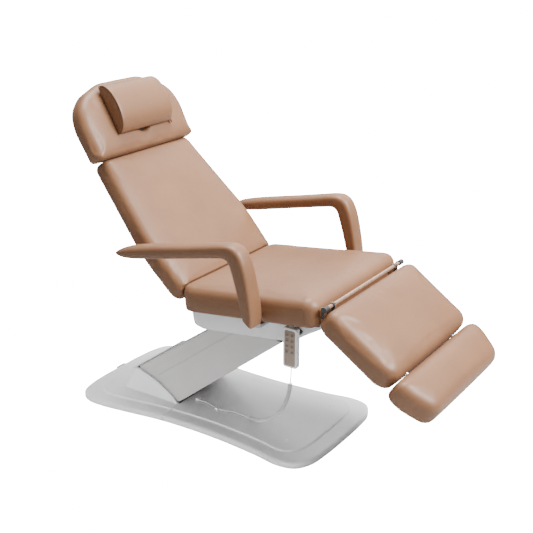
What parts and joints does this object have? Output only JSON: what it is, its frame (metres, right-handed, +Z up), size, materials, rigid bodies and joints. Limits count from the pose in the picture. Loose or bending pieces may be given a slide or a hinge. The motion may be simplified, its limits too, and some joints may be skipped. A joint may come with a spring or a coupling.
{
  "type": "facial treatment bed",
  "caption": "Powered facial treatment bed: oval base, slanted lift arm, padded seat, back and leg sections, headrest with face hole and pillow, bent armrests, corded handset.",
  "frame": {"origin": "centre of the base's underside, on the floor", "axes": "+X towards the foot end, +Y towards the side without the handset, +Z up"},
  "size_m": [1.5999, 0.8, 1.2774],
  "materials": {
    "vinyl": "smooth upholstery vinyl",
    "board": "dark-faced plywood",
    "steel": "black powder coat",
    "chrome": "polished",
    "paint": "white powder coat",
    "white": "moulded, satin gloss",
    "grey": "moulded, satin gloss",
    "keypad": "moulded key",
    "cord": "smooth sheath"
  },
  "bodies": {
    "base": {"base_plate": "steel", "base_cover_front": "white", "base_cover_rear": "white", "lift_bracket": "paint", "power_inlet": "steel", "screw_cap_1": "white", "screw_cap_2": "white", "screw_cap_3": "white", "screw_cap_4": "white", "cord_clip": "white", "cord_gland": "white", "cord_base_run": "cord"},
    "lift_arm": {"lift_frame": "steel", "arm_cover_upper": "grey", "arm_cover_lower": "grey"},
    "link": {"level_link": "steel"},
    "lift_drive": {"lift_motor": "steel"},
    "lift_plunger": {"lift_rod": "chrome"},
    "seat": {"seat_cushion": "vinyl", "seat_board": "board", "seat_rail_near": "paint", "seat_rail_far": "paint", "front_beam": "paint", "carriage": "paint", "underbody": "white", "control_box": "steel", "legrest_axle": "chrome", "handset_hook": "white", "cord_coil": "cord", "cord_lead": "cord"},
    "backrest": {"back_cushion": "vinyl", "back_board": "board", "back_frame": "paint", "head_hinge": "steel"},
    "back_drive": {"back_motor": "steel"},
    "back_plunger": {"back_rod": "chrome"},
    "headrest": {"head_cushion": "vinyl", "head_board": "board", "head_bracket": "steel"},
    "pillow": {"pillow": "vinyl"},
    "legrest": {"leg_cushion": "vinyl", "leg_board": "board", "leg_frame": "steel"},
    "leg_drive": {"leg_motor": "steel"},
    "leg_plunger": {"leg_rod": "chrome"},
    "footrest": {"foot_cushion": "vinyl", "foot_bar_near": "chrome", "foot_bar_far": "chrome"},
    "armrest_near": {"arm_near": "vinyl"},
    "armrest_far": {"arm_far": "vinyl"},
    "handset": {"handset_case": "white"},
    "key_1": {"key_1": "keypad"},
    "key_2": {"key_2": "keypad"},
    "key_3": {"key_3": "keypad"},
    "key_4": {"key_4": "keypad"},
    "key_5": {"key_5": "keypad"},
    "key_6": {"key_6": "keypad"},
    "key_7": {"key_7": "keypad"},
    "key_8": {"key_8": "keypad"}
  },
  "joints": [
    {"name": "lift", "type": "hinge", "parent": "base", "child": "lift_arm", "pos_m": [-0.23, 0, 0.095], "axis": [0, -1, 0], "range_deg": [0, 27]},
    {"name": "seat_level", "type": "hinge", "parent": "lift_arm", "child": "seat", "pos_m": [0.274, 0, 0.47], "axis": [0, -1, 0], "range_deg": [-27.5, 0.5]},
    {"name": "link_pivot", "type": "hinge", "parent": "base", "child": "link", "pos_m": [-0.262, 0, 0.137], "axis": [0, -1, 0], "range_deg": [-0.5, 27.5]},
    {"name": "lift_drive_pivot", "type": "hinge", "parent": "base", "child": "lift_drive", "pos_m": [-0.145, 0, 0.05], "axis": [0, -1, 0], "range_deg": [-0.5, 28]},
    {"name": "lift_stroke", "type": "slide", "parent": "lift_drive", "child": "lift_plunger", "axis": [0.6854, 0, 0.7282], "range_m": [0, 0.046]},
    {"name": "backrest_tilt", "type": "hinge", "parent": "seat", "child": "backrest", "pos_m": [0.005, 0, 0.535], "axis": [0, -1, 0], "range_deg": [0, 53]},
    {"name": "back_drive_pivot", "type": "hinge", "parent": "seat", "child": "back_drive", "pos_m": [0.39999, -0.178, 0.50452], "axis": [0, -1, 0], "range_deg": [-5, 2]},
    {"name": "back_stroke", "type": "slide", "parent": "back_drive", "child": "back_plunger", "axis": [-0.9966, 0, -0.0823], "range_m": [-0.055, 0.015]},
    {"name": "headrest_tilt", "type": "hinge", "parent": "backrest", "child": "headrest", "pos_m": [-0.398, 0, 0.999], "axis": [0, -1, 0], "range_deg": [-8, 40]},
    {"name": "pillow_slide", "type": "slide", "parent": "headrest", "child": "pillow", "axis": [-0.4924, 0, 0.8704], "range_m": [-0.025, 0.02]},
    {"name": "legrest_tilt", "type": "hinge", "parent": "seat", "child": "legrest", "pos_m": [0.62, 0, 0.653], "axis": [0, -1, 0], "range_deg": [0, 42]},
    {"name": "leg_drive_pivot", "type": "hinge", "parent": "seat", "child": "leg_drive", "pos_m": [0.20216, 0.178, 0.48298], "axis": [0, -1, 0], "range_deg": [-1, 2]},
    {"name": "leg_stroke", "type": "slide", "parent": "leg_drive", "child": "leg_plunger", "axis": [0.9915, 0, 0.13], "range_m": [0, 0.086]},
    {"name": "footrest_slide", "type": "slide", "parent": "legrest", "child": "footrest", "axis": [0.8192, 0, -0.5736], "range_m": [0, 0.15]},
    {"name": "armrest_near_flip", "type": "hinge", "parent": "seat", "child": "armrest_near", "pos_m": [0.376, -0.335, 0.612], "axis": [0, 1, 0], "range_deg": [0, 80]},
    {"name": "armrest_far_flip", "type": "hinge", "parent": "seat", "child": "armrest_far", "pos_m": [0.376, 0.335, 0.612], "axis": [0, 1, 0], "range_deg": [0, 80]},
    {"name": "handset_unhook", "type": "slide", "parent": "seat", "child": "handset", "axis": [0, -1, 0], "range_m": [0, 0.05]},
    {"name": "key_1_press", "type": "slide", "parent": "handset", "child": "key_1", "axis": [0, 1, 0], "range_m": [0, 0.001], "stiffness_N_per_m": 200},
    {"name": "key_2_press", "type": "slide", "parent": "handset", "child": "key_2", "axis": [0, 1, 0], "range_m": [0, 0.001], "stiffness_N_per_m": 200},
    {"name": "key_3_press", "type": "slide", "parent": "handset", "child": "key_3", "axis": [0, 1, 0], "range_m": [0, 0.001], "stiffness_N_per_m": 200},
    {"name": "key_4_press", "type": "slide", "parent": "handset", "child": "key_4", "axis": [0, 1, 0], "range_m": [0, 0.001], "stiffness_N_per_m": 200},
    {"name": "key_5_press", "type": "slide", "parent": "handset", "child": "key_5", "axis": [0, 1, 0], "range_m": [0, 0.001], "stiffness_N_per_m": 200},
    {"name": "key_6_press", "type": "slide", "parent": "handset", "child": "key_6", "axis": [0, 1, 0], "range_m": [0, 0.001], "stiffness_N_per_m": 200},
    {"name": "key_7_press", "type": "slide", "parent": "handset", "child": "key_7", "axis": [0, 1, 0], "range_m": [0, 0.001], "stiffness_N_per_m": 200},
    {"name": "key_8_press", "type": "slide", "parent": "handset", "child": "key_8", "axis": [0, 1, 0], "range_m": [0, 0.001], "stiffness_N_per_m": 200}
  ],
  "couplings": [
    {"joint": "seat_level", "follows": "lift", "ratio": -1},
    {"joint": "link_pivot", "follows": "lift", "ratio": 1},
    {"joint": "lift_drive_pivot", "follows": "lift", "ratio": 1.0183},
    {"joint": "lift_stroke", "follows": "lift", "m_per_rad": 0.09517},
    {"joint": "back_drive_pivot", "follows": "backrest_tilt", "ratio": -0.0726},
    {"joint": "back_stroke", "follows": "backrest_tilt", "m_per_rad": -0.0553},
    {"joint": "leg_drive_pivot", "follows": "legrest_tilt", "ratio": 0.01732},
    {"joint": "leg_stroke", "follows": "legrest_tilt", "m_per_rad": 0.1145}
  ]
}
